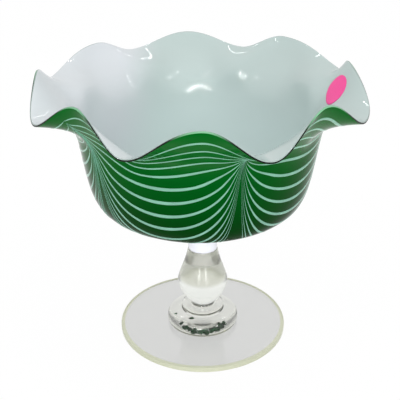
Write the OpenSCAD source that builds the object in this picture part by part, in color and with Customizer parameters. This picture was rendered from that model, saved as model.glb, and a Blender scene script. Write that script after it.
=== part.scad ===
// Footed compote: a ruffled bowl of opal glass cased in green, with trails pulled
// into loops, on an opal neck, a clear baluster stem, a collar, a pad and a foot.
// The origin is on the table, under the middle of the bowl. The foot's axis stands
// a little to the right of it, because the bowl was set by hand.

/* [Foot] */
// Radius of the foot
foot_r = 51; // [45:1:60]
// Thickness of the foot at its edge
foot_edge_t = 3; // [2.5:0.1:4]
// Thickness of the foot under the pad
foot_h = 3.8; // [3.5:0.1:6]
// Rounding of the foot's edge
foot_bevel = 0.7; // [0.3:0.1:1]
// Radius of the shallow hollow under the foot
hollow_r = 38; // [30:1:42]
// Depth of that hollow
hollow_depth = 0.8; // [0.4:0.1:1.2]
// Radius of the ground mark in the middle of the hollow
ground_r = 11; // [8:1:14]
// Depth of the ground mark below the hollow
ground_depth = 0.5; // [0.2:0.1:0.8]
// How far the foot's axis stands to the right of the bowl's axis
foot_offset = 2; // [0:0.5:3]

/* [Pad and collar] */
// Largest radius of the pad on the foot
pad_r = 21.8; // [18:0.2:26]
// Height of the pad
pad_h = 8.7; // [6:0.1:12]
// Radius of the flat on top of the pad
pad_top_r = 13; // [12:0.2:15]
// Largest radius of the collar
collar_r = 12.8; // [10.6:0.2:13]
// Height of the collar
collar_h = 4.5; // [3.5:0.1:7]
// Radius of the waist between the collar and the stem
waist_r = 7; // [5:0.2:9]

/* [Stem] */
// Height of the stem
stem_h = 38; // [30:1:50]
// Height of the stem's shoulder above its lower end
shoulder_rise = 16.5; // [13:0.5:20]
// Radius of the shoulder
shoulder_r = 15.1; // [13:0.1:18]
// Radius of the joint between the stem and the neck
joint_r = 8.8; // [7.5:0.1:9.5]
// Height of the opal neck under the bowl
neck_h = 15.4; // [10:0.2:20]
// Radius of the neck where it meets the bowl
neck_top_r = 10.8; // [10:0.1:11]

/* [Bowl] */
// Radius of the flat seat under the bowl
seat_r = 13; // [13:0.2:16]
// Radius at the heel, where the underside turns up
heel_r = 54; // [48:1:60]
// Height of the heel above the seat
heel_rise = 17.6; // [14:0.2:22]
// Radius at the throat, where the ruffles begin
throat_r = 67.8; // [64:0.2:74]
// Height of the throat above the seat
throat_rise = 57.6; // [50:0.2:66]
// Mean radius of the rim
rim_r = 90; // [84:0.5:96]
// Mean height of the rim above the seat
rim_rise = 88.1; // [86:0.1:96]
// Half the height from a dip of the rim to a crest
ruffle_h = 10; // [6:0.5:12]
// How far the rim's radius strays from its mean
ruffle_stray = 5; // [0:0.5:6]
// Thickness of the green casing
casing_t = 1.5; // [1:0.1:2]
// Thickness of the opal lining
lining_t = 1.9; // [1.4:0.1:2.6]
// Thickness that the green casing thins to at the rim
rim_casing_t = 0.9; // [0.7:0.05:1.2]
// Thickness that the opal lining thins to at the rim
rim_lining_t = 0.5; // [0.4:0.05:0.8]
// Height of the fire-polished edge above the rim
rim_round = 0.5; // [0.3:0.1:1]

/* [Trails] */
// Width of a trail between two pull lines
trail_w = 1.6; // [1:0.1:2]
// How far a trail stands proud of the casing
trail_proud = 0.4; // [0.3:0.05:0.6]
// Gap between a trail and the casing's facets
trail_gap = 0.08; // [0.05:0.01:0.15]
// Way along the underside from the seat to the lowest trail
trail_first = 18; // [14:0.5:22]
// Way up the wall from one trail to the next
trail_pitch = 8.45; // [8:0.05:8.6]
// Way from the seat to the lowest trail's peak on a pull line
peak_low = 106; // [104:0.5:108]
// Way from one peak to the next on a pull line
peak_pitch = 1.8; // [1.6:0.05:1.9]
// Length of the ruffled part, by which ways past the throat are counted
flare_way = 46; // [44:0.5:48]

/* [Price sticker] */
// Radius of the blank round sticker inside the rim
sticker_r = 10; // [8:0.5:11]
// Thickness of the sticker
sticker_t = 0.3; // [0.2:0.05:0.4]
// Gap between the sticker and the lining's facets
sticker_gap = 0.25; // [0.2:0.05:0.4]
// Way from the seat to the middle of the sticker
sticker_way = 118.5; // [116:0.5:120]

/* [Hidden] */
$fn = 96;

// Angles, in degrees: slopes of the bowl's profile above the level
seat_slope = 5;
heel_slope = 24;
throat_slope = 81;
crest_slope = 66;
dip_slope = 11;
// Directions of the turned pieces' profiles
pad_top_slope = 14;
collar_slope = 52;
waist_slope = 40;
upright = 90;
shoulder_slope = 100;
joint_slope = 98;
neck_slope = 92;
neck_flare_slope = 50;
full_turn = 360;

// Curve handles, as shares of the chord they belong to
underside_share = 0.314;
heel_share = 0.236;
throat_share = 0.567;
crest_handle_shares = [0.42, 0.4];
dip_handle_shares = [0.45, 0.7];
cup_shares = [0.27, 0.38];
cone_shares = [0.22, 0.36];
neck_shares = [0.55, 0.25];
pad_shares = [0.5, 0.45];
collar_shares = [0.5, 0.4];

// The eight ruffles, from the front crest round to the right: how far each crest and
// dip is turned from an even spacing, and its radius and height from the rim's mean
crest_turns = [1, -4, 8, 10, 5, -1, 2, 2];
crest_r_shares = [1.1, 0.65, -0.95, 0.5, 0.85, 0.4, -0.2, -0.45];
crest_h_shares = [1, 1.25, 0.85, 0.45, 0.25, 0.3, 0.8, 0.95];
dip_turns = [0, -4, -2, 4, 6, 8, 1, -4];
dip_r_shares = [0.55, 1.1, -0.65, -0.95, -0.05, -0.55, 0.8, -1.2];
dip_h_shares = [-0.95, -0.6, -0.2, -0.45, -0.55, -0.4, -0.95, -1.3];
ruffles = len(crest_turns);
ruffle_turn = full_turn / ruffles;

// The five lines on which the trails were pulled up, from the front one to the right
pull_angles = [18, 89, 162, 235, 308];
pulls = len(pull_angles);
trails = 14;
// The trails keep to their level between two pull lines and rise to them as this power
drape_power = 5;
// How soon a trail rounds over at its peak, as a share of half a panel
tip_share = 0.05;
// Largest width of a trail, as a share of the room that it has beside its neighbours
crowd_share = 0.5;
// How much of a trail's width is pulled away at its peak
thinning_share = 0.6;

// Counts of rows and columns of facets
underside_rows = 3;
wall_rows = 4;
flare_rows = 5;
panel_columns = 15;
columns = pulls * panel_columns;
curve_steps = 12;
// How much closer the columns stand beside a pull line, as a share of a column
closing_share = 0.35;
sticker_sides = 20;
sticker_rings = 2;
sticker_angle = 92;

// Heights of the joints between the pieces
pad_z = foot_h;
collar_z = pad_z + pad_h;
stem_z = collar_z + collar_h;
neck_z = stem_z + stem_h;
seat_z = neck_z + neck_h;
wall_t = casing_t + lining_t;
rim_wall_t = rim_casing_t + rim_lining_t;

// Plain helpers
function direction(angle) = [cos(angle), sin(angle)];
function unit(v) = v / norm(v);
function bezier(p, q, r, s, t) =
    p * pow(1 - t, 3) + q * 3 * t * pow(1 - t, 2) + r * 3 * t * t * (1 - t) + s * pow(t, 3);
// A curve from p to s that leaves and arrives at the given slopes
function blend(p, slope_p, share_p, s, slope_s, share_s, t) =
    let (chord = norm(s - p))
    bezier(p, p + share_p * chord * direction(slope_p), s - share_s * chord * direction(slope_s), s, t);
function blend_path(p, slope_p, s, slope_s, shares) =
    [for (k = [0 : curve_steps]) blend(p, slope_p, shares[0], s, slope_s, shares[1], k / curve_steps)];
function running(lengths, i = 0, sum = 0) =
    i == len(lengths) ? [sum] : concat([sum], running(lengths, i + 1, sum + lengths[i]));

// The bowl's profile up to the throat, the same all round: [radius, height] in each row
seat = [seat_r, seat_z];
heel = [heel_r, seat_z + heel_rise];
throat = [throat_r, seat_z + throat_rise];
body_profile = concat(
    [for (k = [0 : underside_rows - 1])
        blend(seat, seat_slope, underside_share, heel, heel_slope, underside_share, k / underside_rows)],
    [for (k = [0 : wall_rows])
        blend(heel, heel_slope, heel_share, throat, throat_slope, throat_share, k / wall_rows)]);
body_rows = len(body_profile) - 1;
rows = body_rows + flare_rows;
body_ways = running([for (i = [1 : body_rows]) norm(body_profile[i] - body_profile[i - 1])]);
ways = concat(body_ways, [for (k = [1 : flare_rows]) body_ways[body_rows] + flare_way * k / flare_rows]);

// A crest, even i, or a dip, odd i, of the rim: [angle, radius, height, slope, handle shares]
function rim_knot(i) =
    let (k = floor(i / 2) % ruffles, lap = floor(i / (2 * ruffles)) * full_turn, crest = i % 2 == 0)
    concat([lap + k * ruffle_turn + (crest ? crest_turns[k] : ruffle_turn / 2 + dip_turns[k]),
            rim_r + ruffle_stray * (crest ? crest_r_shares[k] : dip_r_shares[k]),
            seat_z + rim_rise + ruffle_h * (crest ? crest_h_shares[k] : dip_h_shares[k]),
            crest ? crest_slope : dip_slope],
           crest ? crest_handle_shares : dip_handle_shares);
rim_knots = [for (i = [0 : 2 * ruffles]) rim_knot(i)];
// The rim at any angle: [radius, height, slope, handle shares], eased from knot to knot
function rim_at(angle) =
    let (a = rim_knots[0][0] + (angle - rim_knots[0][0] + full_turn) % full_turn,
         i = max([for (k = [0 : 2 * ruffles - 1]) if (rim_knots[k][0] <= a) k]),
         low = rim_knots[i], high = rim_knots[i + 1],
         w = (1 - cos(180 * (a - low[0]) / (high[0] - low[0]))) / 2)
    [for (n = [1 : 5]) low[n] * (1 - w) + high[n] * w];

// The outer skin's profile at any angle, from the seat to the rim
function skin_profile(angle) =
    let (rim = rim_at(angle), edge = [rim[0], rim[1]])
    concat(body_profile,
           [for (k = [1 : flare_rows])
               blend(throat, throat_slope, rim[3], edge, rim[2], rim[4], k / flare_rows)]);
// Unit direction from the skin into the glass at row i
function inward(profile, i) =
    i == 0 ? [0, 1] :
    let (along = unit(profile[min(i + 1, rows)] - profile[i - 1]))
    [-along[1], along[0]];
// A profile under the skin, at one depth up to the throat and from there thinning to the rim's
function offset_profile(profile, depth, rim_depth) =
    [for (i = [0 : rows])
        let (run = max(i - body_rows, 0) / flare_rows)
        profile[i] + (depth * (1 - run) + rim_depth * run) * inward(profile, i)];
function rim_ridge(profile) =
    profile[rows] + rim_casing_t * inward(profile, rows) + rim_round * unit(profile[rows] - profile[rows - 1]);
// A profile's point at a way from the seat, on the straight stretch between two rows
function profile_at(profile, way) =
    [for (n = [0, 1]) lookup(way, [for (i = [0 : rows]) [ways[i], profile[i][n]]])];
// A point of the bowl from its profile's [radius, height]; angle 0 is at the front
function place(angle, p) = [p[0] * sin(angle), -p[0] * cos(angle), p[1]];

// Columns of facets, closer together beside the pull lines
function column_angle(j) =
    let (k = floor(j / panel_columns) % pulls, lap = floor(j / columns) * full_turn,
         u = (j % panel_columns) / panel_columns,
         start = pull_angles[k] + lap,
         end = (k + 1 < pulls ? pull_angles[k + 1] : pull_angles[0] + full_turn) + lap)
    start + (end - start) * (u - closing_share * sin(full_turn * u) / (2 * PI));
// 1 on a pull line and 0 midway between two
function pull_at(j) =
    let (k = floor(j / panel_columns) * panel_columns,
         start = column_angle(k), end = column_angle(k + panel_columns),
         u = 2 * (column_angle(j) - start) / (end - start) - 1,
         v = max(1 - norm([1 - abs(u), tip_share]), 0) / (1 - tip_share))
    pow(v, drape_power);
profiles = [for (j = [0 : columns - 1]) skin_profile(column_angle(j))];

// Closed solid round the bowl's axis from one loop of [radius, height] for each column,
// which starts under the middle of the bowl and ends over it. The loop's point number
// ridge is on the rim, where the facets' diagonals change sides, so that neighbours match
module turned_shell(loops, ridge) {
    n = len(loops[0]);
    low = columns * n;
    high = low + 1;
    points = concat([for (j = [0 : columns - 1], p = loops[j]) place(column_angle(j), p)],
                    [[0, 0, loops[0][0][1]], [0, 0, loops[0][n - 1][1]]]);
    function facets(a, b, rising) =
        rising ? [[a, a + 1, b + 1], [a, b + 1, b]] : [[a, a + 1, b], [a + 1, b + 1, b]];
    faces = [for (j = [0 : columns - 1])
                let (a = j * n, b = ((j + 1) % columns) * n)
                each concat([for (i = [0 : n - 2]) each facets(a + i, b + i, i < ridge)],
                            [[low, a, b], [high, b + n - 1, a + n - 1]])];
    polyhedron(points, faces, convexity = 6);
}

// Bands that a path of sections makes into a closed ring
module ring(sections) {
    n = len(sections[0]);
    count = len(sections);
    points = [for (section = sections, p = section) p];
    faces = [for (j = [0 : count - 1], i = [0 : n - 1])
                let (a = j * n, b = ((j + 1) % count) * n, up = (i + 1) % n)
                each [[a + i, a + up, b + up], [a + i, b + up, b + i]]];
    polyhedron(points, faces, convexity = 6);
}

module turned(outline) {
    translate([foot_offset, 0, 0])
    rotate_extrude()
    polygon(outline);
}

module foot_disc() {
    color("gainsboro")
    turned([[0, hollow_depth + ground_depth],
            [ground_r - 2 * ground_depth, hollow_depth + ground_depth],
            [ground_r, hollow_depth],
            [hollow_r - 4 * hollow_depth, hollow_depth],
            [hollow_r, 0],
            [foot_r - foot_bevel, 0],
            [foot_r, foot_bevel],
            [foot_r, foot_edge_t - foot_bevel],
            [foot_r - foot_bevel, foot_edge_t],
            [pad_r, foot_h],
            [0, foot_h]]);
}

module foot_pad() {
    side_low = [pad_r - foot_bevel, pad_z];
    belly = [pad_r, pad_z + pad_h / 4];
    top = [pad_top_r, collar_z];
    color("whitesmoke")
    turned(concat([[0, pad_z], side_low],
                  blend_path(belly, upright, top, 2 * upright - pad_top_slope, pad_shares),
                  [[0, collar_z]]));
}

module stem_collar() {
    low_r = collar_r - foot_bevel;
    edge_low = [collar_r, collar_z + foot_bevel];
    edge_high = [collar_r, collar_z + collar_h / 2];
    top = [waist_r, stem_z];
    color("honeydew")
    turned(concat([[0, collar_z], [low_r, collar_z], edge_low],
                  blend_path(edge_high, upright + collar_slope, top, upright, collar_shares),
                  [[0, stem_z]]));
}

module stem() {
    shoulder = [shoulder_r, stem_z + shoulder_rise];
    cup = blend_path([waist_r, stem_z], waist_slope, shoulder, upright, cup_shares);
    cone = blend_path(shoulder, shoulder_slope, [joint_r, neck_z], joint_slope, cone_shares);
    color("ivory")
    turned(concat([[0, stem_z]], cup, [for (k = [1 : curve_steps]) cone[k]], [[0, neck_z]]));
}

module opal_neck() {
    color("lavender")
    turned(concat([[0, neck_z]],
                  blend_path([joint_r, neck_z], neck_slope, [neck_top_r, seat_z], neck_flare_slope, neck_shares),
                  [[0, seat_z]]));
}

module green_casing() {
    loops = [for (profile = profiles)
                let (middle = offset_profile(profile, casing_t, rim_casing_t))
                concat(profile, [rim_ridge(profile)], [for (i = [rows - 1 : -1 : 0]) middle[i]])];
    color("darkgreen")
    turned_shell(loops, rows + 1);
}

module opal_lining() {
    loops = [for (profile = profiles)
                let (middle = offset_profile(profile, casing_t, rim_casing_t),
                     inner = offset_profile(profile, wall_t, rim_wall_t))
                concat([for (i = [0 : rows - 1]) middle[i]], [rim_ridge(profile)],
                       [for (i = [rows : -1 : 0]) inner[i]])];
    color("lightcyan")
    turned_shell(loops, rows);
}

// One trail: its level at each column, then a ridge between two edges across it
module trail(n) {
    low = trail_first + n * trail_pitch;
    peak = peak_low + n * peak_pitch;
    levels = [for (j = [0 : columns - 1]) low + (peak - low) * pull_at(j)];
    places = [for (j = [0 : columns - 1]) place(column_angle(j), profile_at(profiles[j], levels[j]))];
    sections = [for (j = [0 : columns - 1])
        let (profile = profiles[j],
             below = profile_at(profile, levels[j] - trail_w),
             above = profile_at(profile, levels[j] + trail_w),
             up = unit(place(column_angle(j), above) - place(column_angle(j), below)),
             side = [cos(column_angle(j)), sin(column_angle(j)), 0],
             out = cross(side, up),
             along = unit(places[(j + 1) % columns] - places[(j + columns - 1) % columns]),
             across = unit(cross(out, along)),
             pull = pull_at(j),
             room = (trail_pitch * (1 - pull) + peak_pitch * pull) * abs(along * side),
             half = min(trail_w, crowd_share * room) * (1 - thinning_share * pull) / 2,
             foot = places[j] + trail_gap * out)
        [foot - half * across, foot + half * across, places[j] + trail_proud * out]];
    ring(sections);
}

module pulled_trails() {
    color("mediumaquamarine")
    for (n = [0 : trails - 1]) trail(n);
}

// A round patch that follows the lining inside the rim
module price_sticker() {
    middle_r = profile_at(skin_profile(sticker_angle), sticker_way)[0];
    function patch(x, y, depth) =
        let (angle = sticker_angle + x / middle_r * 180 / PI)
        place(angle, profile_at(offset_profile(skin_profile(angle), wall_t + depth, rim_wall_t + depth),
                                sticker_way + y));
    function layer(depth) = concat([patch(0, 0, depth)],
        [for (k = [1 : sticker_rings], i = [0 : sticker_sides - 1])
            let (r = sticker_r * k / sticker_rings, turn = i * full_turn / sticker_sides)
            patch(r * cos(turn), r * sin(turn), depth)]);
    count = 1 + sticker_rings * sticker_sides;
    function fan(base, flip) =
        [for (i = [0 : sticker_sides - 1])
            let (a = base + 1 + i, b = base + 1 + (i + 1) % sticker_sides)
            each concat([flip ? [base, b, a] : [base, a, b]],
                [for (k = [0 : sticker_rings - 2])
                    let (c = a + k * sticker_sides, d = b + k * sticker_sides,
                         e = c + sticker_sides, f = d + sticker_sides)
                    each flip ? [[c, d, f], [c, f, e]] : [[c, f, d], [c, e, f]]])];
    rim = count - sticker_sides;
    sides = [for (i = [0 : sticker_sides - 1])
                let (a = rim + i, b = rim + (i + 1) % sticker_sides)
                each [[a, b, b + count], [a, b + count, a + count]]];
    color("hotpink")
    polyhedron(concat(layer(sticker_gap), layer(sticker_gap + sticker_t)),
               concat(fan(0, true), fan(count, false), sides), convexity = 3);
}

foot_disc();
foot_pad();
stem_collar();
stem();
opal_neck();
green_casing();
opal_lining();
pulled_trails();
price_sticker();
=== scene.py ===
"""A footed compote: a ruffled bowl of green and opal glass with pulled trails, on a clear stem and foot."""

import math

import bpy
import numpy as np
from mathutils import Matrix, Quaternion, Vector


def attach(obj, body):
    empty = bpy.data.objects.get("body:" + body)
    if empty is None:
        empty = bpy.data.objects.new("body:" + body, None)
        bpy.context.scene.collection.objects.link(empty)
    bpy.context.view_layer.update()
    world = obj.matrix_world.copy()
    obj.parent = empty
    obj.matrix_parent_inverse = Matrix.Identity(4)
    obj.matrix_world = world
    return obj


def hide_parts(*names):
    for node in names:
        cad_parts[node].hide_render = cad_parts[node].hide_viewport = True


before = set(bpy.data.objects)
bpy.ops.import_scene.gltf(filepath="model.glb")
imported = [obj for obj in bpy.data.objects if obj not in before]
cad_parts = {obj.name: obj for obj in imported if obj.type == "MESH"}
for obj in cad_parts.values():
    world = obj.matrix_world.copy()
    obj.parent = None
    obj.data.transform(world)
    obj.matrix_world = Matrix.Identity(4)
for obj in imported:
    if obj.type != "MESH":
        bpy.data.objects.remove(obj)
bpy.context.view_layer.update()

bl_info = {
    "name": "Footed Compote",
    "version": (1, 0, 0),
    "blender": (4, 5, 0),
    "location": "View3D > Sidebar > Compote",
    "description": "Builds a ruffled compote of cased glass around its construction model",
    "category": "Add Mesh",
}

BODY = "root"
FULL_TURN = 2 * math.pi
# Degrees from the outward level
UPRIGHT = 90

# The eight ruffles, from the front crest round to the right: turns in degrees from an even
# spacing, and radii and heights as shares of the ruffles' stray and height
CREST_TURNS = (1, -4, 8, 10, 5, -1, 2, 2)
CREST_R_SHARES = (1.1, 0.65, -0.95, 0.5, 0.85, 0.4, -0.2, -0.45)
CREST_H_SHARES = (1, 1.25, 0.85, 0.45, 0.25, 0.3, 0.8, 0.95)
DIP_TURNS = (0, -4, -2, 4, 6, 8, 1, -4)
DIP_R_SHARES = (0.55, 1.1, -0.65, -0.95, -0.05, -0.55, 0.8, -1.2)
DIP_H_SHARES = (-0.95, -0.6, -0.2, -0.45, -0.55, -0.4, -0.95, -1.3)
RUFFLES = len(CREST_TURNS)

# The five lines on which the trails were pulled up, in degrees from the front to the right
PULL_ANGLES = (18, 89, 162, 235, 308)
# The lower the power, the flatter a loop hangs between two lines
DRAPE_POWER = 0.3
# How much of half a panel rounds off a trail's peak
TIP_SHARE = 0.04
# The most of the room between two trails that a trail fills, and how much it thins at a peak
CROWD_SHARE = 0.5
THINNING_SHARE = 0.9
# How much closer together the mesh's columns stand beside a pull line
COLUMN_CLOSING = 0.35

# Handles of the profile's curves, as shares of the chord they belong to
UNDERSIDE_SHARES = (0.314, 0.314)
WALL_SHARES = (0.236, 0.567)
CREST_SHARES = (0.42, 0.4)
DIP_SHARES = (0.45, 0.7)
CUP_SHARES = (0.27, 0.38)
CONE_SHARES = (0.22, 0.36)
NECK_SHARES = (0.55, 0.25)
PAD_SHARES = (0.5, 0.45)
COLLAR_SHARES = (0.5, 0.4)
HOLLOW_SHARES = (0.4, 0.4)

# Slopes of the stand's curves where they leave and arrive, in degrees from the outward level
PAD_TOP_SLOPE = 166
COLLAR_SLOPE = 142
CUP_LOW_SLOPE = 40
CONE_LOW_SLOPE = 100
CONE_TOP_SLOPE = 98
NECK_LOW_SLOPE = 92
NECK_TOP_SLOPE = 50

# Height over the shoulder within which the stem turns from clear to olive
TINT_FADE = 0.003

# Counts of the meshes' rows and columns
BOWL_ROWS = 96
BOWL_COLUMNS = 96
LIP_ROWS = 6
TRAIL_COLUMNS = 120
TRAIL_SIDES = 8
TURNED_COLUMNS = 160
CURVE_STEPS = 24
ROUND_STEPS = 6
SPECK_ROWS = 10
SPECK_COLUMNS = 16
STICKER_RINGS = 12
STICKER_COLUMNS = 64

# The specks, a painted reflection of the green bowl, and their places in the pad: degrees from the front to
# the right, shares of the pad's radius and height, and a size in millimetres
SPECK_PLACES = (
    (-44, 0.82, 0.42, 0.9), (-33, 0.85, 0.34, 1.5), (-25, 0.82, 0.28, 1.1), (-15, 0.84, 0.25, 1.7),
    (-4, 0.83, 0.23, 1.6), (6, 0.84, 0.25, 1.8), (16, 0.82, 0.26, 1.5), (26, 0.84, 0.3, 1.7),
    (35, 0.82, 0.38, 1.6), (43, 0.83, 0.46, 1.1), (-30, 0.6, 0.66, 1.2), (-72, 0.78, 0.55, 0.7),
)
# How far a speck is stretched along each axis
SPECK_STRETCH = (1.3, 0.9, 0.75)

# Strips of light: name, place, width and height in metres, power in watts, and roll in degrees
LAMPS = (
    ("key", (-0.7, -0.9, 1.5), 1.2, 0.012, 3.2, 0),
    ("fill", (0.9, -0.6, 1.3), 0.012, 1.2, 2.6, 0),
    ("back", (0.1, 1.0, 1.4), 1.4, 0.012, 2.2, 0),
    ("front_top", (0, -0.9, 0.58), 0.12, 0.004, 1.0, 0),
    ("front_left", (-0.18, -0.9, 0.33), 0.004, 0.5, 1.8, -28),
    ("front_right", (0.18, -0.9, 0.33), 0.004, 0.5, 1.8, 28),
)
SENSOR_MM = 36.0
FLOOR_GAP = 0.0002
# The share of plain white in the floor that the camera, mirrors and glass see; the rest is its shading
FLOOR_SEEN_SHARE = 0.96


def length(name, default, description):
    """A size in metres that a user may change."""
    return bpy.props.FloatProperty(
        name=name, description=description, default=default, min=0, unit="LENGTH"
    )


def slope(name, degrees, description):
    """An angle above the level that a user may change."""
    return bpy.props.FloatProperty(
        name=name, description=description, default=math.radians(degrees), subtype="ANGLE"
    )


def colour(name, default, description):
    """A colour that a user may change, in linear light."""
    return bpy.props.FloatVectorProperty(
        name=name, description=description, default=default, size=3, min=0, max=1, subtype="COLOR"
    )


class CompoteBowl(bpy.types.PropertyGroup):
    """Sizes of the bowl, from the seat under it to the ruffled rim."""

    seat_z: length("Seat height", 0.0704, "Height of the seat under the bowl")
    seat_r: length("Seat radius", 0.013, "Radius of the flat seat")
    heel_r: length("Heel radius", 0.054, "Radius where the underside turns up")
    heel_rise: length("Heel rise", 0.0176, "Height of the heel above the seat")
    throat_r: length("Throat radius", 0.0678, "Radius where the ruffles begin")
    throat_rise: length("Throat rise", 0.0576, "Height of the throat above the seat")
    rim_r: length("Rim radius", 0.0897, "Mean radius of the rim")
    rim_rise: length("Rim rise", 0.0875, "Mean height of the rim above the seat")
    ruffle_h: length("Ruffle height", 0.01, "Half the height from a dip to a crest")
    ruffle_stray: length("Ruffle stray", 0.005, "How far the rim's radius strays")
    casing_t: length("Casing", 0.0015, "Thickness of the green casing")
    lining_t: length("Lining", 0.0019, "Thickness of the opal lining")
    rim_casing_t: length("Casing at the rim", 0.0009, "Thickness that the casing thins to")
    rim_lining_t: length("Lining at the rim", 0.0005, "Thickness that the lining thins to")
    rim_round: length("Rim rounding", 0.0003, "Height of the fire-polished edge")
    seat_slope: slope("Seat slope", 5, "Slope of the underside beside the seat")
    heel_slope: slope("Heel slope", 24, "Slope of the underside at the heel")
    throat_slope: slope("Throat slope", 81, "Slope of the wall at the throat")
    crest_slope: slope("Crest slope", 66, "Slope of the rim's crests")
    dip_slope: slope("Dip slope", 11, "Slope of the rim's dips")


class CompoteTrails(bpy.types.PropertyGroup):
    """Sizes of the pulled trails and of the price sticker, as ways along the bowl from its seat."""

    count: bpy.props.IntProperty(name="Trails", description="Number of trails", default=14, min=1)
    width: length("Width", 0.0021, "Width of a trail between two pull lines")
    proud: length("Proud", 0.00012, "How far a trail stands proud of the casing")
    first: length("Lowest", 0.018, "Way to the lowest trail")
    pitch: length("Pitch", 0.00845, "Way from one trail to the next")
    peak_low: length("Lowest peak", 0.106, "Way to the lowest trail's peak on a pull line")
    peak_pitch: length("Peak pitch", 0.0018, "Way from one peak to the next")
    flare_way: length("Flare way", 0.046, "Length by which ways past the throat are counted")
    sticker_r: length("Sticker radius", 0.01, "Radius of the blank sticker")
    sticker_way: length("Sticker way", 0.1185, "Way to the sticker's middle")
    sticker_t: length("Sticker thickness", 0.0002, "Thickness of the sticker's paper")
    sticker_angle: slope("Sticker angle", 92, "Angle of the sticker's middle from the front")


class CompoteStand(bpy.types.PropertyGroup):
    """Sizes of the foot, the pad, the collar, the stem and the neck."""

    foot_offset: length("Foot offset", 0.002, "How far the foot's axis is to the right of the bowl's")
    foot_r: length("Foot radius", 0.051, "Radius of the foot")
    foot_edge_t: length("Foot edge", 0.003, "Thickness of the foot's edge")
    foot_h: length("Foot height", 0.0038, "Thickness of the foot under the pad")
    foot_bevel: length("Foot bevel", 0.0007, "Rounding of the foot's edge")
    edge_band: length("Edge band", 0.0022, "Width of the band in which the foot's edge shows")
    hollow_start_r: length("Hollow's flat", 0.001, "Radius of the flat in the middle of the hollow")
    hollow_r: length("Hollow radius", 0.044, "Radius of the hollow under the foot")
    hollow_depth: length("Hollow depth", 0.0008, "Depth of the hollow")
    pad_r: length("Pad radius", 0.0218, "Largest radius of the pad")
    pad_h: length("Pad height", 0.0087, "Height of the pad")
    pad_top_r: length("Pad top radius", 0.013, "Radius of the flat on the pad")
    collar_r: length("Collar radius", 0.0128, "Radius of the collar")
    collar_h: length("Collar height", 0.0045, "Height of the collar")
    waist_r: length("Waist radius", 0.007, "Radius of the waist over the collar")
    stem_h: length("Stem height", 0.038, "Height of the stem")
    shoulder_rise: length("Shoulder rise", 0.0165, "Height of the stem's shoulder over its lower end")
    shoulder_r: length("Shoulder radius", 0.0151, "Radius of the shoulder")
    joint_r: length("Joint radius", 0.0088, "Radius of the joint with the neck")
    neck_h: length("Neck height", 0.0154, "Height of the opal neck")
    neck_top_r: length("Neck top radius", 0.0108, "Radius of the neck under the bowl")


class CompoteGlass(bpy.types.PropertyGroup):
    """Colours of the glass and of the paper; some of them are painted light and shade."""

    green_low: colour("Green, low", (0.0, 0.011, 0.0), "The casing near the heel")
    green_high: colour("Green, high", (0.0, 0.088, 0.008), "The casing near the rim")
    # The lip's two tones are painted light: painted shade in the dips and a painted highlight on the crests
    lip_dip_painted_shade: colour("Lip, low", (0.0, 0.004, 0.001), "The casing's edge in the dips of the rim")
    lip_crest_painted_highlight: colour("Lip, high", (0.18, 0.42, 0.24), "The casing's edge on the crests of the rim")
    green_gloss: colour("Green gloss", (0.1, 1.0, 0.2), "Tint of what the casing reflects straight on")
    trail_low: colour("Trail, low", (0.15, 0.32, 0.25), "The trails near the heel")
    trail_high: colour("Trail, high", (0.16, 0.38, 0.27), "The trails near the rim")
    # The lining's two tones are painted light: lighter deep in the bowl to make up for its shade, darker
    # near the rim to make up for the lamps
    opal_deep_painted_light: colour("Opal, low", (0.58, 0.68, 0.665), "The lining deep in the bowl")
    opal_rim_painted_shade: colour("Opal, high", (0.42, 0.5, 0.485), "The lining near the rim")
    # A painted sheen: the opal's lavender iridescence, laid on as colour
    opal_painted_sheen: colour("Opal blush", (0.64, 0.65, 0.69), "The lavender blush on the left ruffles")
    # Painted shade: the lining's edge is darkened where it turns away from the light
    opal_lip_painted_shade: colour("Opal lip", (0.3, 0.37, 0.35), "The lining's edge")
    neck: colour("Neck", (0.83, 0.84, 0.91), "The milky neck")
    clear: colour("Clear glass", (0.7, 0.71, 0.65), "The collar and the pad")
    stem_low: colour("Stem, low", (0.88, 0.9, 0.86), "The stem under its shoulder")
    stem_high: colour("Stem, high", (0.57, 0.58, 0.48), "The stem over its shoulder, where it is olive")
    foot: colour("Foot glass", (0.68, 0.685, 0.675), "The foot")
    foot_edge: colour("Foot's edge", (0.61, 0.63, 0.47), "The foot's edge, where the glass looks thickest")
    # The specks' colour is a painted reflection of the green bowl
    speck_bowl_reflection: colour("Specks", (0.0, 0.06, 0.012), "The green specks in the pad")
    sticker: colour("Sticker", (0.86, 0.06, 0.3), "The sticker's paper")


class CompoteStage(bpy.types.PropertyGroup):
    """The camera, the floor and the lights."""

    elevation: slope("Elevation", 26.82, "Camera's height angle")
    distance: length("Distance", 0.51, "Distance from the camera to its target")
    target_x: length("Target X", 0.0021, "How far to the right the camera stands")
    target_z: length("Target Z", 0.0863, "Height of the camera's target")
    focal_px: bpy.props.FloatProperty(
        name="Focal length", description="Focal length in the photograph's pixels", default=868.5
    )
    centre_px: bpy.props.FloatProperty(
        name="Centre", description="Pixel column of the camera's axis", default=202.87
    )
    picture_px: bpy.props.FloatProperty(
        name="Picture", description="Picture's width in pixels", default=400
    )
    ambient: bpy.props.FloatProperty(
        name="Ambient", description="Strength of the plain room light", default=0.87
    )
    floor_size: length("Floor", 6.0, "Side of the floor")


def direction(angle):
    """Unit vector [out, up] at an angle above the level."""
    return np.stack([np.cos(angle), np.sin(angle)], -1)


def bezier(p, q, r, s, t):
    """Points of a cubic curve at shares t of its run."""
    t = np.asarray(t)[..., None]
    return p * (1 - t) ** 3 + q * 3 * t * (1 - t) ** 2 + r * 3 * t * t * (1 - t) + s * t**3


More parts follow.
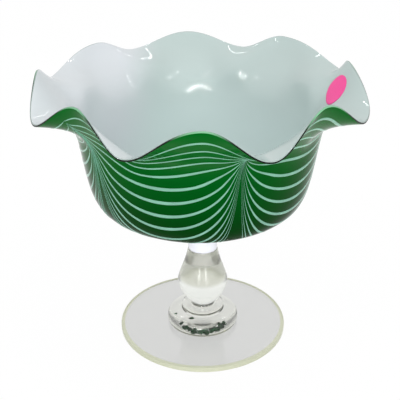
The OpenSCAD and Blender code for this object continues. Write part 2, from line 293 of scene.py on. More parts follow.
def blend(p, slope_p, s, slope_s, shares, t):
    """A curve from p to s that leaves and arrives at the given slopes."""
    p, s = np.asarray(p, float), np.asarray(s, float)
    chord = np.linalg.norm(s - p, axis=-1)[..., None]
    leave = p + shares[0] * chord * direction(slope_p)
    arrive = s - shares[1] * chord * direction(slope_s)
    return bezier(p, leave, arrive, s, t)


def unit(vectors):
    """Vectors scaled to length 1 along their last axis."""
    return vectors / np.linalg.norm(vectors, axis=-1)[..., None]


def path_lengths(points):
    """Length along a path up to each of its points."""
    steps = np.linalg.norm(np.diff(points, axis=0), axis=1)
    return np.concatenate([[0], np.cumsum(steps)])


class BowlForm:
    """The bowl's skin by an angle, in radians from the front to the right, and a way up it in metres."""

    FINE = 400

    def __init__(self, bowl, flare_way):
        self.bowl = bowl
        self.flare_way = flare_way
        self.seat = np.array([bowl.seat_r, bowl.seat_z])
        self.heel = np.array([bowl.heel_r, bowl.seat_z + bowl.heel_rise])
        self.throat = np.array([bowl.throat_r, bowl.seat_z + bowl.throat_rise])
        self.shares = np.linspace(0, 1, self.FINE)
        self.under_ways = path_lengths(self.underside(self.shares))
        self.wall_ways = path_lengths(self.wall(self.shares))
        self.heel_way = self.under_ways[-1]
        self.throat_way = self.heel_way + self.wall_ways[-1]
        self.rim_way = self.throat_way + flare_way
        self.knots = self.rim_knots()

    def underside(self, t):
        """The profile from the seat to the heel."""
        bowl = self.bowl
        return blend(self.seat, bowl.seat_slope, self.heel, bowl.heel_slope, UNDERSIDE_SHARES, t)

    def wall(self, t):
        """The profile from the heel to the throat."""
        bowl = self.bowl
        return blend(self.heel, bowl.heel_slope, self.throat, bowl.throat_slope, WALL_SHARES, t)

    def rim_knots(self):
        """Angle, radius, height, slope and handle shares at each crest and dip, once round to the first."""
        bowl = self.bowl
        mean_z = bowl.seat_z + bowl.rim_rise
        pitch = FULL_TURN / RUFFLES
        knots = []
        for k in range(RUFFLES):
            knots.append((
                k * pitch + math.radians(CREST_TURNS[k]),
                bowl.rim_r + bowl.ruffle_stray * CREST_R_SHARES[k],
                mean_z + bowl.ruffle_h * CREST_H_SHARES[k],
                bowl.crest_slope,
                *CREST_SHARES,
            ))
            knots.append((
                (k + 0.5) * pitch + math.radians(DIP_TURNS[k]),
                bowl.rim_r + bowl.ruffle_stray * DIP_R_SHARES[k],
                mean_z + bowl.ruffle_h * DIP_H_SHARES[k],
                bowl.dip_slope,
                *DIP_SHARES,
            ))
        knots.append((knots[0][0] + FULL_TURN, *knots[0][1:]))
        return np.array(knots)

    def rim(self, angle):
        """The rim's [radius, height], slope and handle shares at any angle, eased from knot to knot."""
        knots = self.knots
        turned = (np.asarray(angle, float) - knots[0, 0]) % FULL_TURN + knots[0, 0]
        low = np.clip(np.searchsorted(knots[:, 0], turned, side="right") - 1, 0, len(knots) - 2)
        run = (turned - knots[low, 0]) / (knots[low + 1, 0] - knots[low, 0])
        weight = (1 - np.cos(math.pi * run)) / 2
        mixed = knots[low, 1:] * (1 - weight)[..., None] + knots[low + 1, 1:] * weight[..., None]
        return mixed[..., :2], mixed[..., 2], (mixed[..., 3:4], mixed[..., 4:5])

    def profile(self, angle, way):
        """[radius, height] of the skin."""
        bowl = self.bowl
        angle, way = np.broadcast_arrays(np.asarray(angle, float), np.asarray(way, float))
        under = self.underside(np.interp(way, self.under_ways, self.shares))
        wall = self.wall(np.interp(way - self.heel_way, self.wall_ways, self.shares))
        edge, edge_slope, shares = self.rim(angle)
        flare = blend(self.throat, bowl.throat_slope, edge, edge_slope, shares, self.flare_run(way))
        low, middle = (way < self.heel_way)[..., None], (way < self.throat_way)[..., None]
        return np.where(low, under, np.where(middle, wall, flare))

    def flare_run(self, way):
        """How far a way is along the ruffled part, from 0 at the throat to 1 at the rim."""
        return np.clip((way - self.throat_way) / self.flare_way, 0, 1)

    def casing_depth(self, way):
        """Depth of the casing's inner face under the skin."""
        run = self.flare_run(way)
        return self.bowl.casing_t * (1 - run) + self.bowl.rim_casing_t * run

    def wall_depth(self, way):
        """Depth of the lining's inner face under the skin."""
        run = self.flare_run(way)
        return self.casing_depth(way) + self.bowl.lining_t * (1 - run) + self.bowl.rim_lining_t * run

    def inward(self, angle, way):
        """Unit [out, up] from the skin into the glass, and unit [out, up] along the skin to the rim."""
        step = self.flare_way / self.FINE
        above = self.profile(angle, np.minimum(way + step, self.rim_way))
        below = self.profile(angle, np.maximum(way - step, 0))
        along = unit(above - below)
        return np.stack([-along[..., 1], along[..., 0]], -1), along

    def point(self, angle, way, depth=0.0):
        """Points at a depth under the skin, in metres from the origin."""
        angle, way, depth = np.broadcast_arrays(angle, way, depth)
        inward, _ = self.inward(angle, way)
        return place(angle, self.profile(angle, way) + depth[..., None] * inward)

    def lip(self, angle, turn):
        """Points over the rim's rounded edge: turn 0 is on the skin, and pi is on the inner face."""
        bowl = self.bowl
        angle, turn = np.broadcast_arrays(angle, turn)
        way = np.full(angle.shape, self.rim_way)
        inward, along = self.inward(angle, way)
        across = (bowl.rim_casing_t + bowl.rim_lining_t) / 2 * (1 - np.cos(turn))
        over = bowl.rim_round * np.sin(turn)
        edge = self.profile(angle, way) + across[..., None] * inward + over[..., None] * along
        return place(angle, edge)


def place(angle, profile):
    """Points from angles and [radius, height]; angle 0 is at the front."""
    radius, height = profile[..., 0], profile[..., 1]
    return np.stack([radius * np.sin(angle), -radius * np.cos(angle), height], -1)


def grid_faces(rows, columns):
    """Quads over rows by columns of points, whose last column joins the first."""
    faces = []
    for low in range(0, (rows - 1) * columns, columns):
        high = low + columns
        for j in range(columns):
            k = (j + 1) % columns
            faces.append((low + j, low + k, high + k, high + j))
    return faces


def tube_faces(rows, columns):
    """The quads of a grid, closed at its lower and upper end."""
    last = (rows - 1) * columns
    ends = [tuple(reversed(range(columns))), tuple(range(last, last + columns))]
    return grid_faces(rows, columns) + ends


def add_piece(name, points, faces, materials, face_slots=None):
    """A smooth mesh object at the origin."""
    mesh = bpy.data.meshes.new(name)
    mesh.from_pydata([tuple(p) for p in points], [], faces)
    for material in materials:
        mesh.materials.append(material)
    if face_slots is not None:
        mesh.polygons.foreach_set("material_index", face_slots)
    mesh.shade_smooth()
    mesh.update()
    piece = bpy.data.objects.new(name, mesh)
    bpy.context.scene.collection.objects.link(piece)
    return piece


def seat_piece(piece, slot_name, *nodes):
    """Rides the piece on the object and hides the construction parts that it stands for; slot_name is not
    used.
    """
    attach(piece, BODY)
    if nodes:
        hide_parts(*nodes)


def shell_piece(name, rings, materials, lip_rows):
    """A closed solid round the bowl's axis from rings of points, from under its middle to over it. The
    faces between the lip's rows take the last material."""
    rings = np.array(rings)
    rows, columns = rings.shape[:2]
    points = rings.reshape(-1, 3)
    faces = grid_faces(rows, columns)
    slots = [(len(materials) - 1) * (i // columns in lip_rows) for i in range(len(faces))]
    slots += [0] * (2 * columns)
    low, high = len(points), len(points) + 1
    ends = np.array([[0, 0, rings[0, 0, 2]], [0, 0, rings[-1, 0, 2]]])
    last = (rows - 1) * columns
    for j in range(columns):
        k = (j + 1) % columns
        faces.append((low, k, j))
        faces.append((high, last + j, last + k))
    return add_piece(name, np.vstack([points, ends]), faces, materials, slots)


def column_angles(per_panel):
    """Angles round the bowl, closer together beside the pull lines, and the pull on each, from 0 to 1."""
    u = np.arange(per_panel) / per_panel
    eased = u - COLUMN_CLOSING * np.sin(FULL_TURN * u) / FULL_TURN
    starts = np.radians(PULL_ANGLES)
    ends = np.append(starts[1:], starts[0] + FULL_TURN)
    angles = np.concatenate([a + (b - a) * eased for a, b in zip(starts, ends)])
    near = 1 - np.hypot(1 - np.abs(2 * eased - 1), TIP_SHARE)
    across = np.clip(near / (1 - TIP_SHARE), 0, 1)
    pulls = np.tile(1 - (1 - across**2) ** DRAPE_POWER, len(starts))
    return angles, pulls


def fill(node, sockets):
    """Constants on a node's inputs, whose names have underscores for spaces."""
    for name, value in sockets.items():
        node.inputs[name.replace("_", " ")].default_value = value


class GlassNodes:
    """A material with a Principled shader and short calls to wire nodes to it."""

    def __init__(self, name, **settings):
        self.material = bpy.data.materials.new(name)
        self.material.use_nodes = True
        self.tree = self.material.node_tree
        self.shader = self.tree.nodes["Principled BSDF"]
        self.link = self.tree.links.new
        fill(self.shader, settings)

    def node(self, kind, **sockets):
        """A new node with constants on its inputs."""
        made = self.tree.nodes.new(kind)
        fill(made, sockets)
        return made

    def bump(self, height, strength, distance):
        """Feeds a height to the shader's normal."""
        bump = self.node("ShaderNodeBump", Strength=strength, Distance=distance)
        self.link(height, bump.inputs["Height"])
        self.link(bump.outputs["Normal"], self.shader.inputs["Normal"])


def opaque(rgb):
    """A colour with full alpha."""
    return (*rgb, 1.0)


TONE_SOCKETS = (
    ("Low Colour", "INPUT", "NodeSocketColor"),
    ("High Colour", "INPUT", "NodeSocketColor"),
    ("Low Height", "INPUT", "NodeSocketFloat"),
    ("High Height", "INPUT", "NodeSocketFloat"),
    ("Mottle", "INPUT", "NodeSocketFloat"),
    ("Mottle Scale", "INPUT", "NodeSocketFloat"),
    ("Colour", "OUTPUT", "NodeSocketColor"),
    ("Ripple", "OUTPUT", "NodeSocketFloat"),
)


def glass_tone_group():
    """Shared effect: two tones of glass by height, mottled, with the slow ripple of a blown surface."""
    name = "Glass Tone"
    if name in bpy.data.node_groups:
        return bpy.data.node_groups[name]
    tree = bpy.data.node_groups.new(name, "ShaderNodeTree")
    for socket, way, kind in TONE_SOCKETS:
        tree.interface.new_socket(socket, in_out=way, socket_type=kind)
    nodes, link = tree.nodes, tree.links.new
    inputs, outputs = nodes.new("NodeGroupInput"), nodes.new("NodeGroupOutput")
    surface = nodes.new("ShaderNodeTexCoord")
    parts = nodes.new("ShaderNodeSeparateXYZ")
    link(surface.outputs["Object"], parts.inputs[0])
    rise = nodes.new("ShaderNodeMapRange")
    rise.interpolation_type = "SMOOTHSTEP"
    link(parts.outputs["Z"], rise.inputs["Value"])
    link(inputs.outputs["Low Height"], rise.inputs["From Min"])
    link(inputs.outputs["High Height"], rise.inputs["From Max"])
    tones = nodes.new("ShaderNodeMix")
    tones.data_type = "RGBA"
    link(rise.outputs["Result"], tones.inputs["Factor"])
    link(inputs.outputs["Low Colour"], tones.inputs["A"])
    link(inputs.outputs["High Colour"], tones.inputs["B"])
    noise = nodes.new("ShaderNodeTexNoise")
    link(surface.outputs["Object"], noise.inputs["Vector"])
    link(inputs.outputs["Mottle Scale"], noise.inputs["Scale"])
    centred = nodes.new("ShaderNodeMath")
    centred.operation = "SUBTRACT"
    centred.inputs[1].default_value = 0.5
    link(noise.outputs["Fac"], centred.inputs[0])
    swing = nodes.new("ShaderNodeMath")
    swing.operation = "MULTIPLY_ADD"
    swing.inputs[2].default_value = 1.0
    link(centred.outputs[0], swing.inputs[0])
    link(inputs.outputs["Mottle"], swing.inputs[1])
    mottled = nodes.new("ShaderNodeVectorMath")
    mottled.operation = "SCALE"
    link(tones.outputs["Result"], mottled.inputs[0])
    link(swing.outputs[0], mottled.inputs["Scale"])
    link(mottled.outputs[0], outputs.inputs["Colour"])
    link(noise.outputs["Fac"], outputs.inputs["Ripple"])
    return tree


def toned(name, tones, heights, mottle, mottle_scale, **settings):
    """A finish that goes from its first tone to its last between two heights, and its tone node."""
    made = GlassNodes(name, **settings)
    tone = made.tree.nodes.new("ShaderNodeGroup")
    tone.node_tree = glass_tone_group()
    fill(tone, {
        "Low Colour": opaque(tones[0]), "High Colour": opaque(tones[-1]),
        "Low Height": heights[0], "High Height": heights[1],
        "Mottle": mottle, "Mottle Scale": mottle_scale,
    })
    made.link(tone.outputs["Colour"], made.shader.inputs["Base Color"])
    return made, tone


def bowl_heights(bowl):
    """Heights of the bowl's seat and of its mean rim."""
    return bowl.seat_z, bowl.seat_z + bowl.rim_rise


def casing_material(glass, bowl):
    """Deep green glass, brighter where it thins towards the rim."""
    made, tone = toned(
        "green_casing_glass", (glass.green_low, glass.green_high), bowl_heights(bowl), 0.35, 30.0,
        Roughness=0.08, IOR=1.5, Specular_IOR_Level=0.04, Specular_Tint=opaque(glass.green_gloss),
    )
    made.bump(tone.outputs["Ripple"], 0.15, 0.0015)
    return made.material


def lip_material(glass, bowl):
    """The casing's edge, with painted shade that makes it nearly black in the dips of the rim and a painted
    pale green highlight on its crests.
    """
    mean_z = bowl.seat_z + bowl.rim_rise
    made, _ = toned(
        "casing_lip_glass", (glass.lip_dip_painted_shade, glass.lip_crest_painted_highlight),
        (mean_z + bowl.ruffle_h / 3, mean_z + bowl.ruffle_h * 1.15), 0.2, 60.0,
        Roughness=0.1, IOR=1.5, Specular_IOR_Level=0.15,
    )
    return made.material


def lining_material(glass, bowl):
    """Pale aqua-grey opal, painted lighter deep in the bowl to make up for its shade and darker near the
    rim to make up for the lamps' light, with a painted lavender sheen in soft patches on the left ruffles.
    """
    # Painted light and shade: the lining's tone evens out how the lamps and the bowl's shade fall on it
    made, tone = toned(
        "opal_lining_glass", (glass.opal_deep_painted_light, glass.opal_rim_painted_shade),
        (bowl.seat_z + bowl.throat_rise / 2, bowl.seat_z + bowl.rim_rise), 0.06, 18.0,
        Roughness=0.02, IOR=1.5, Specular_IOR_Level=0.4,
    )
    # Painted sheen: a lavender iridescence in soft patches on the left ruffles, laid on as colour
    surface = made.node("ShaderNodeTexCoord")
    parts = made.node("ShaderNodeSeparateXYZ")
    made.link(surface.outputs["Object"], parts.inputs[0])
    leftward = made.node(
        "ShaderNodeMapRange", From_Min=-bowl.rim_r / 4, From_Max=-bowl.rim_r * 0.6, To_Min=0.0, To_Max=0.85
    )
    leftward.interpolation_type = "SMOOTHSTEP"
    made.link(parts.outputs["X"], leftward.inputs["Value"])
    patches = made.node("ShaderNodeTexNoise", Scale=14.0, Detail=1.0)
    made.link(surface.outputs["Object"], patches.inputs["Vector"])
    spread = made.node("ShaderNodeMapRange", From_Min=0.3, From_Max=0.7, To_Min=0.6, To_Max=1.0)
    made.link(patches.outputs["Fac"], spread.inputs["Value"])
    mask = made.node("ShaderNodeMath")
    mask.operation = "MULTIPLY"
    made.link(spread.outputs["Result"], mask.inputs[0])
    made.link(leftward.outputs["Result"], mask.inputs[1])
    painted_sheen = made.node("ShaderNodeMix")
    painted_sheen.data_type = "RGBA"
    painted_sheen.inputs["B"].default_value = opaque(glass.opal_painted_sheen)
    made.link(mask.outputs[0], painted_sheen.inputs["Factor"])
    made.link(tone.outputs["Colour"], painted_sheen.inputs["A"])
    made.link(painted_sheen.outputs["Result"], made.shader.inputs["Base Color"])
    made.bump(tone.outputs["Ripple"], 0.1, 0.001)
    return made.material


def clear_material(name, tones, heights, roughness, through=1.0):
    """Clear glass in one tint or two, with a slow ripple of its surface."""
    made, tone = toned(
        name, tones, heights, 0.03, 80.0, Roughness=roughness, IOR=1.5, Transmission_Weight=through
    )
    made.bump(tone.outputs["Ripple"], 0.05, 0.0005)
    return made.material


def joint_material():
    """Faces where two glasses are fused: light goes straight through them."""
    made = GlassNodes("fused_joint")
    clear = made.node("ShaderNodeBsdfTransparent")
    made.link(clear.outputs[0], made.tree.nodes["Material Output"].inputs["Surface"])
    made.tree.nodes.remove(made.shader)
    return made.material


def sticker_material(glass):
    """Matt pink paper with a fine grain."""
    made, tone = toned(
        "sticker_paper", (glass.sticker,), (0.0, 0.2), 0.12, 900.0, Roughness=0.8, Sheen_Weight=0.1
    )
    made.bump(tone.outputs["Ripple"], 0.4, 0.0001)
    return made.material


def bowl_form(context):
    """The bowl's skin from the scene's settings."""
    scene = context.scene
    return BowlForm(scene.compote_bowl, scene.compote_trails.flare_way)


LIP_RANGE = range(BOWL_ROWS - 1, BOWL_ROWS + LIP_ROWS - 2)


def shell_rings(form, depth_out, depth_in, turn_out, turn_in):
    """Rings from under the bowl's middle, up one face, over the lip and down the other face."""
    angles, _ = column_angles(BOWL_COLUMNS)
    ways = np.linspace(0, form.rim_way, BOWL_ROWS)
    below = [form.point(angles, way, depth_out(way)) for way in ways[:-1]]
    over = [form.lip(angles, turn) for turn in np.linspace(turn_out, turn_in, LIP_ROWS)]
    return below + over + [form.point(angles, way, depth_in(way)) for way in ways[-2::-1]]


def casing_turn(bowl):
    """Turn over the lip at which the casing gives way to the lining."""
    return math.acos(1 - 2 * bowl.rim_casing_t / (bowl.rim_casing_t + bowl.rim_lining_t))


class COMPOTE_OT_casing(bpy.types.Operator):
    """Add the green outer shell of the bowl"""

    bl_idname = "compote.casing"
    bl_label = "Green Casing"

    def execute(self, context):
        form = bowl_form(context)
        bowl = form.bowl
        rings = shell_rings(form, np.zeros_like, form.casing_depth, 0.0, casing_turn(bowl))
        glass = context.scene.compote_glass
        materials = [casing_material(glass, bowl), lip_material(glass, bowl)]
        seat_piece(shell_piece("casing", rings, materials, LIP_RANGE), "green_glass", "green_casing")
        return {"FINISHED"}


class COMPOTE_OT_lining(bpy.types.Operator):
    """Add the opal inner shell of the bowl"""

    bl_idname = "compote.lining"
    bl_label = "Opal Lining"

    def execute(self, context):
        form = bowl_form(context)
        bowl = form.bowl
        rings = shell_rings(form, form.casing_depth, form.wall_depth, casing_turn(bowl), math.pi)
        glass = context.scene.compote_glass
        # The lining's edge takes painted shade, darker than the opal
        lip, _ = toned(
            "lining_lip_glass", (glass.opal_lip_painted_shade,), (0.0, 0.2), 0.3, 60.0,
            Roughness=0.1, IOR=1.5, Specular_IOR_Level=0.3,
        )
        materials = [lining_material(glass, bowl), lip.material]
        seat_piece(shell_piece("lining", rings, materials, LIP_RANGE), "opal_glass", "opal_lining")
        return {"FINISHED"}


def trail_rings(form, trails, n):
    """Sections along one trail, flat and slightly proud of the skin it follows."""
    angles, pulls = column_angles(TRAIL_COLUMNS)
    low = trails.first + n * trails.pitch
    peak = trails.peak_low + n * trails.peak_pitch
    levels = low + (peak - low) * pulls
    places = form.point(angles, levels)
    along = unit(np.roll(places, -1, axis=0) - np.roll(places, 1, axis=0))
    side = np.stack([np.cos(angles), np.sin(angles), np.zeros_like(angles)], -1)
    round_share = np.sum(along * side, -1)
    climb = np.sign(np.roll(levels, -1) - np.roll(levels, 1))
    rise_share = np.sqrt(np.maximum(1 - round_share**2, 0)) * climb
    room = (trails.pitch * (1 - pulls) + trails.peak_pitch * pulls) * np.abs(round_share)
    half = np.minimum(trails.width, CROWD_SHARE * room) * (1 - THINNING_SHARE * np.sqrt(pulls)) / 2
    radius = np.linalg.norm(places[:, :2], axis=1)
    turns = np.linspace(0, FULL_TURN, TRAIL_SIDES, endpoint=False)
    rings = []
    for turn in turns:
        across = half * math.cos(turn)
        angle = angles - across * rise_share / radius
        way = levels + across * round_share
        rings.append(form.point(angle, way, -trails.proud * math.sin(turn)))
    return np.array(rings)


class COMPOTE_OT_trails(bpy.types.Operator):
    """Add the pale trails, pulled up into loops"""

    bl_idname = "compote.trails"
    bl_label = "Pulled Trails"

    def execute(self, context):
        form = bowl_form(context)
        trails = context.scene.compote_trails
        points, faces = [], []
        for n in range(trails.count):
            rings = trail_rings(form, trails, n)
            base = sum(len(p) for p in points)
            columns = rings.shape[1]
            closed = np.concatenate([rings, rings[:1]])
            count = rings.shape[0] * columns
            for quad in grid_faces(len(closed), columns):
                faces.append(tuple(base + i % count for i in quad))
            points.append(rings.reshape(-1, 3))
        glass = context.scene.compote_glass
        pale, _ = toned(
            "trail_glass", (glass.trail_low, glass.trail_high), bowl_heights(form.bowl), 0.5, 120.0,
            Roughness=0.1, IOR=1.5, Specular_IOR_Level=0.3,
        )
        piece = add_piece("trails", np.vstack(points), faces, [pale.material])
        seat_piece(piece, "trail_glass", "pulled_trails")
        return {"FINISHED"}


def turned_piece(name, outline, materials, offset, edge_r=math.inf):
    """A solid turned about the foot's axis. The outline is [radius, height] from the lower to the upper
    end's edge; its ends are closed with fused faces, which take the last material. Faces beyond edge_r
    take the second material."""
    angles = np.linspace(0, FULL_TURN, TURNED_COLUMNS, endpoint=False)
    rings = np.array([place(angles, np.broadcast_to(p, (TURNED_COLUMNS, 2))) for p in outline])
    rings[..., 0] += offset
    rows = len(outline)
    points = rings.reshape(-1, 3)
    faces = tube_faces(rows, TURNED_COLUMNS)
    beyond = [min(outline[i][0], outline[i + 1][0]) >= edge_r for i in range(rows - 1)]
    slots = [int(out) for out in beyond for _ in range(TURNED_COLUMNS)]
    slots += [len(materials) - 1] * 2
    return add_piece(name, points, faces, materials, slots)


def curve(p, slope_p, s, slope_s, shares):
    """Steps of a blended curve, from slopes in degrees."""
    slope_p, slope_s = math.radians(slope_p), math.radians(slope_s)
    return [tuple(q) for q in blend(p, slope_p, s, slope_s, shares, np.linspace(0, 1, CURVE_STEPS))]


def stand_levels(stand):
    """Heights of the joints, from the foot's top to the neck's foot."""
    pad_z = stand.foot_h
    collar_z = pad_z + stand.pad_h
    stem_z = collar_z + stand.collar_h
    return pad_z, collar_z, stem_z, stem_z + stand.stem_h


def rounded(corner, before, after, radius):
    """A corner of an outline, turned over in a few short steps."""
    corner, before, after = (np.array(p, float) for p in (corner, before, after))
    start = corner + unit(before - corner) * radius
    end = corner + unit(after - corner) * radius
    t = np.linspace(0, 1, ROUND_STEPS)[:, None]
    return [tuple(p) for p in start * (1 - t) ** 2 + corner * 2 * t * (1 - t) + end * t**2]


def point_towards(start, end, distance):
    """The point at a distance from start on the straight line to end."""
    start, end = np.array(start), np.array(end)
    return tuple(start + unit(end - start) * distance)


def foot_outline(stand):
    """The foot's outline, from the middle of its hollow round the edge to the pad."""
    edge_low, edge_high = (stand.foot_r, 0.0), (stand.foot_r, stand.foot_edge_t)
    pad_edge = (stand.pad_r, stand.foot_h)
    hollow = curve((stand.hollow_start_r, stand.hollow_depth), 0, (stand.hollow_r, 0.0), 0, HOLLOW_SHARES)
    return (
        hollow
        + rounded(edge_low, (stand.hollow_r, 0.0), edge_high, stand.foot_bevel)
        + rounded(edge_high, edge_low, pad_edge, stand.foot_bevel)
        + [point_towards(edge_high, pad_edge, stand.edge_band), pad_edge]
        + [(stand.pad_r - stand.foot_bevel, stand.foot_h)]
    )


def pad_outline(stand):
    """The domed pad's outline."""
    pad_z, collar_z, _, _ = stand_levels(stand)
    low = (stand.pad_r - stand.foot_bevel, pad_z)
    belly = (stand.pad_r, pad_z + stand.pad_h / 4)
    top = (stand.pad_top_r, collar_z)
    return [low] + curve(belly, UPRIGHT, top, PAD_TOP_SLOPE, PAD_SHARES)


def collar_outline(stand):
    """The collar's outline."""
    _, collar_z, stem_z, _ = stand_levels(stand)
    low = (stand.collar_r - stand.foot_bevel, collar_z)
    edge_low = (stand.collar_r, collar_z + stand.foot_bevel)
    edge_high = (stand.collar_r, collar_z + stand.collar_h / 2)
    waist = curve(edge_high, COLLAR_SLOPE, (stand.waist_r, stem_z), UPRIGHT, COLLAR_SHARES)
    return [low, edge_low] + waist


def stem_outline(stand):
    """The baluster's outline."""
    _, _, stem_z, neck_z = stand_levels(stand)
    shoulder = (stand.shoulder_r, stem_z + stand.shoulder_rise)
    cup = curve((stand.waist_r, stem_z), CUP_LOW_SLOPE, shoulder, UPRIGHT, CUP_SHARES)
    cone = curve(shoulder, CONE_LOW_SLOPE, (stand.joint_r, neck_z), CONE_TOP_SLOPE, CONE_SHARES)
    return cup + cone[1:]


def neck_outline(stand):
    """The neck's outline."""
    _, _, _, neck_z = stand_levels(stand)
    low, high = (stand.joint_r, neck_z), (stand.neck_top_r, neck_z + stand.neck_h)
    return curve(low, NECK_LOW_SLOPE, high, NECK_TOP_SLOPE, NECK_SHARES)


class COMPOTE_OT_stand(bpy.types.Operator):
    """Add the clear foot, pad, collar and stem, and the opal neck"""

    bl_idname = "compote.stand"
    bl_label = "Stand"

    def execute(self, context):
        scene = context.scene
        stand, glass = scene.compote_stand, scene.compote_glass
        joint = joint_material()
        _, _, stem_z, _ = stand_levels(stand)
        shoulder_z = stem_z + stand.shoulder_rise
        clear = clear_material("clear_glass", (glass.clear,), (0.0, stem_z), 0.12)
        tinted = clear_material(
            "stem_glass", (glass.stem_low, glass.stem_high), (shoulder_z, shoulder_z + TINT_FADE), 0.17
        )
        foot = clear_material("foot_glass", (glass.foot,), (0.0, stand.foot_h), 0.12)
        foot_edge = clear_material("foot_edge_glass", (glass.foot_edge,), (0.0, stand.foot_h), 0.3, 0.25)
        neck, _ = toned(
            "neck_glass", (glass.neck,), (0.05, 0.07), 0.1, 60.0,
            Roughness=0.15, IOR=1.5, Transmission_Weight=0.05,
        )
        edge_r = stand.foot_r - stand.edge_band - stand.foot_bevel
        for name, outline, materials, slot_name, node in (
            ("foot", foot_outline(stand), [foot, foot_edge, joint], "clear_glass", "foot_disc"),
            ("pad", pad_outline(stand), [clear, joint], "clear_glass", "foot_pad"),
            ("collar", collar_outline(stand), [clear, joint], "clear_glass", "stem_collar"),
            ("baluster", stem_outline(stand), [tinted, joint], "clear_glass", "stem"),
            ("neck", neck_outline(stand), [neck.material], "neck_glass", "opal_neck"),
        ):
            piece = turned_piece(name, outline, materials, stand.foot_offset, edge_r)
            seat_piece(piece, slot_name, node)
        return {"FINISHED"}


def speck_points(middle, size, seed):
    """A lumpy, flattened bead, with the lumps set by its number."""
    tilt = np.linspace(0, math.pi, SPECK_ROWS)[:, None]
    turn = np.linspace(0, FULL_TURN, SPECK_COLUMNS, endpoint=False)[None]
    lumps = 1 + 0.18 * np.sin(3 * turn + seed) * np.sin(tilt) + 0.14 * np.sin(2 * tilt + 2 * seed + turn)
    shape = np.stack([
        np.sin(tilt) * np.cos(turn), np.sin(tilt) * np.sin(turn), np.cos(tilt) + 0 * turn
    ], -1)
    return (middle + size * lumps[..., None] * shape * np.array(SPECK_STRETCH)).reshape(-1, 3)


class COMPOTE_OT_specks(bpy.types.Operator):
    """Add the dark green specks in the pad, a painted reflection of the green bowl"""

    bl_idname = "compote.specks"
    bl_label = "Specks"

    def execute(self, context):
        scene = context.scene
        stand = scene.compote_stand
        # The specks are a painted reflection of the green bowl, laid into the pad as dark beads
        made, _ = toned(
            "painted_bowl_reflection", (scene.compote_glass.speck_bowl_reflection,), (0.0, 0.05), 1.2, 500.0, Roughness=0.2, IOR=1.5
        )
        points, faces = [], []
        for seed, (degrees, out, up, size) in enumerate(SPECK_PLACES):
            profile = np.array([out * stand.pad_r, stand.foot_h + up * stand.pad_h])
            middle = place(np.array(math.radians(degrees)), profile) + np.array([stand.foot_offset, 0, 0])
            base = seed * SPECK_ROWS * SPECK_COLUMNS
            points.append(speck_points(middle, size / 1000, seed))
            faces += [tuple(base + i for i in quad) for quad in grid_faces(SPECK_ROWS, SPECK_COLUMNS)]
        seat_piece(add_piece("specks", np.vstack(points), faces, [made.material]), "green_glass")
        return {"FINISHED"}


class COMPOTE_OT_sticker(bpy.types.Operator):
    """Add the blank round sticker inside the rim"""

    bl_idname = "compote.sticker"
    bl_label = "Sticker"

    def execute(self, context):
        form = bowl_form(context)
        trails = context.scene.compote_trails
        middle = form.profile(trails.sticker_angle, trails.sticker_way)[0]
        turns = np.linspace(0, FULL_TURN, STICKER_COLUMNS, endpoint=False)
        radii = np.linspace(trails.sticker_r / STICKER_RINGS, trails.sticker_r, STICKER_RINGS)

        def ring(radius, height):
            angle = trails.sticker_angle + radius * np.cos(turns) / middle
            way = trails.sticker_way + radius * np.sin(turns)
            return form.point(angle, way, form.wall_depth(way) + height)

        lift = trails.sticker_t / 4
        front = [ring(radius, lift + trails.sticker_t) for radius in radii]
        back = [ring(radius, lift) for radius in radii[::-1]]
        rings = np.array(front + back)
        columns = len(turns)
        faces = [tuple(reversed(face)) for face in tube_faces(len(rings), columns)]
        material = sticker_material(context.scene.compote_glass)
        piece = add_piece("sticker", rings.reshape(-1, 3), faces, [material])
        seat_piece(piece, "sticker_paper", "price_sticker")
        return {"FINISHED"}


def softbox(aim, name, place_at, width, height, power, roll):
    """A soft area light, turned by a roll about the line to its aim."""
    data = bpy.data.lights.new(name, "AREA")
    data.shape = "RECTANGLE"
    data.size, data.size_y = width, height
    data.energy = power
    lamp = bpy.data.objects.new(name, data)
    lamp.location = place_at
    turned = (aim - Vector(place_at)).to_track_quat("-Z", "Y")
    turned = turned @ Quaternion((0, 0, 1), math.radians(roll))
    lamp.rotation_euler = turned.to_euler()
    bpy.context.scene.collection.objects.link(lamp)


def seen_ray(tree):
    """An output that is 1 for rays from the camera, a mirror or glass, and 0 for the rest."""
    path = tree.nodes.new("ShaderNodeLightPath")
    seen = path.outputs["Is Camera Ray"]
    for name in ("Is Glossy Ray", "Is Transmission Ray"):
        either = tree.nodes.new("ShaderNodeMath")
        either.operation = "MAXIMUM"
        tree.links.new(seen, either.inputs[0])
        tree.links.new(path.outputs[name], either.inputs[1])
        seen = either.outputs[0]
    return seen


def room_world(ambient):
    """Plain white light all round, which camera, mirror and glass rays see as white."""
    world = bpy.data.worlds.new("room")
    world.use_nodes = True
    tree = world.node_tree
    strength = tree.nodes.new("ShaderNodeMapRange")
    strength.inputs["To Min"].default_value = ambient
    strength.inputs["To Max"].default_value = 1.0
    tree.links.new(seen_ray(tree), strength.inputs["Value"])
    tree.links.new(strength.outputs["Result"], tree.nodes["Background"].inputs["Strength"])
    tree.nodes["Background"].inputs["Color"].default_value = (1, 1, 1, 1)
    bpy.context.scene.world = world


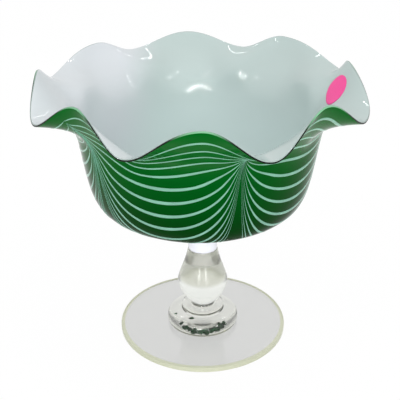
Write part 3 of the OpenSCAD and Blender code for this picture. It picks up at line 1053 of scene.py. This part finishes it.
def floor_material():
    """A white floor that keeps a faint shadow."""
    made = GlassNodes("floor_white", Base_Color=(0.9, 0.9, 0.9, 1), Roughness=0.9)
    glow = made.node("ShaderNodeEmission", Strength=1.0)
    mix = made.node("ShaderNodeMixShader")
    share_seen = made.node("ShaderNodeMath")
    share_seen.operation = "MULTIPLY"
    share_seen.inputs[1].default_value = FLOOR_SEEN_SHARE
    made.link(seen_ray(made.tree), share_seen.inputs[0])
    made.link(share_seen.outputs[0], mix.inputs[0])
    made.link(made.shader.outputs[0], mix.inputs[1])
    made.link(glow.outputs[0], mix.inputs[2])
    made.link(mix.outputs[0], made.tree.nodes["Material Output"].inputs["Surface"])
    return made.material


class COMPOTE_OT_stage(bpy.types.Operator):
    """Add the floor, the lights and the camera"""

    bl_idname = "compote.stage"
    bl_label = "Stage"

    def execute(self, context):
        scene = context.scene
        stage = scene.compote_stage
        half = stage.floor_size / 2
        signs = ((-1, -1), (1, -1), (1, 1), (-1, 1))
        corners = [(half * x, half * y, -FLOOR_GAP) for x, y in signs]
        floor = add_piece("floor", corners, [(0, 1, 2, 3)], [floor_material()])
        room_world(stage.ambient)
        for lamp in LAMPS:
            softbox(Vector((0, 0, stage.target_z)), *lamp)
        data = bpy.data.cameras.new("camera")
        data.sensor_width = SENSOR_MM
        data.lens = stage.focal_px / stage.picture_px * data.sensor_width
        data.shift_x = (stage.picture_px / 2 - stage.centre_px) / stage.picture_px
        camera = bpy.data.objects.new("camera", data)
        back = Vector((0, -math.cos(stage.elevation), math.sin(stage.elevation)))
        target = Vector((stage.target_x, 0, stage.target_z))
        camera.location = target + back * stage.distance
        camera.rotation_euler = (-back).to_track_quat("-Z", "Y").to_euler()
        scene.collection.objects.link(camera)
        scene.camera = camera
        scene.view_settings.view_transform = "Standard"
        return {"FINISHED"}


OPERATORS = (
    COMPOTE_OT_casing,
    COMPOTE_OT_lining,
    COMPOTE_OT_trails,
    COMPOTE_OT_stand,
    COMPOTE_OT_specks,
    COMPOTE_OT_sticker,
    COMPOTE_OT_stage,
)
SETTINGS = {
    "compote_bowl": CompoteBowl,
    "compote_trails": CompoteTrails,
    "compote_stand": CompoteStand,
    "compote_glass": CompoteGlass,
    "compote_stage": CompoteStage,
}


class COMPOTE_PT_panel(bpy.types.Panel):
    """Buttons for each piece and the sizes that they use"""

    bl_idname = "COMPOTE_PT_panel"
    bl_label = "Footed Compote"
    bl_space_type = "VIEW_3D"
    bl_region_type = "UI"
    bl_category = "Compote"

    def draw(self, context):
        for operator in OPERATORS:
            self.layout.operator(operator.bl_idname)
        for name, group in SETTINGS.items():
            box = self.layout.box()
            box.label(text=group.__doc__)
            for setting in group.__annotations__:
                box.prop(getattr(context.scene, name), setting)


def register():
    """Registers the settings, the operators and the panel."""
    for name, group in SETTINGS.items():
        bpy.utils.register_class(group)
        setattr(bpy.types.Scene, name, bpy.props.PointerProperty(type=group))
    for operator in OPERATORS:
        bpy.utils.register_class(operator)
    bpy.utils.register_class(COMPOTE_PT_panel)


def unregister():
    """Takes them away again."""
    bpy.utils.unregister_class(COMPOTE_PT_panel)
    for operator in reversed(OPERATORS):
        bpy.utils.unregister_class(operator)
    for name, group in reversed(SETTINGS.items()):
        delattr(bpy.types.Scene, name)
        bpy.utils.unregister_class(group)


def main():
    """Builds every piece and the stage."""
    register()
    for operator in OPERATORS:
        family, name = operator.bl_idname.split(".")
        getattr(getattr(bpy.ops, family), name)()


if __name__ == "__main__":
    main()
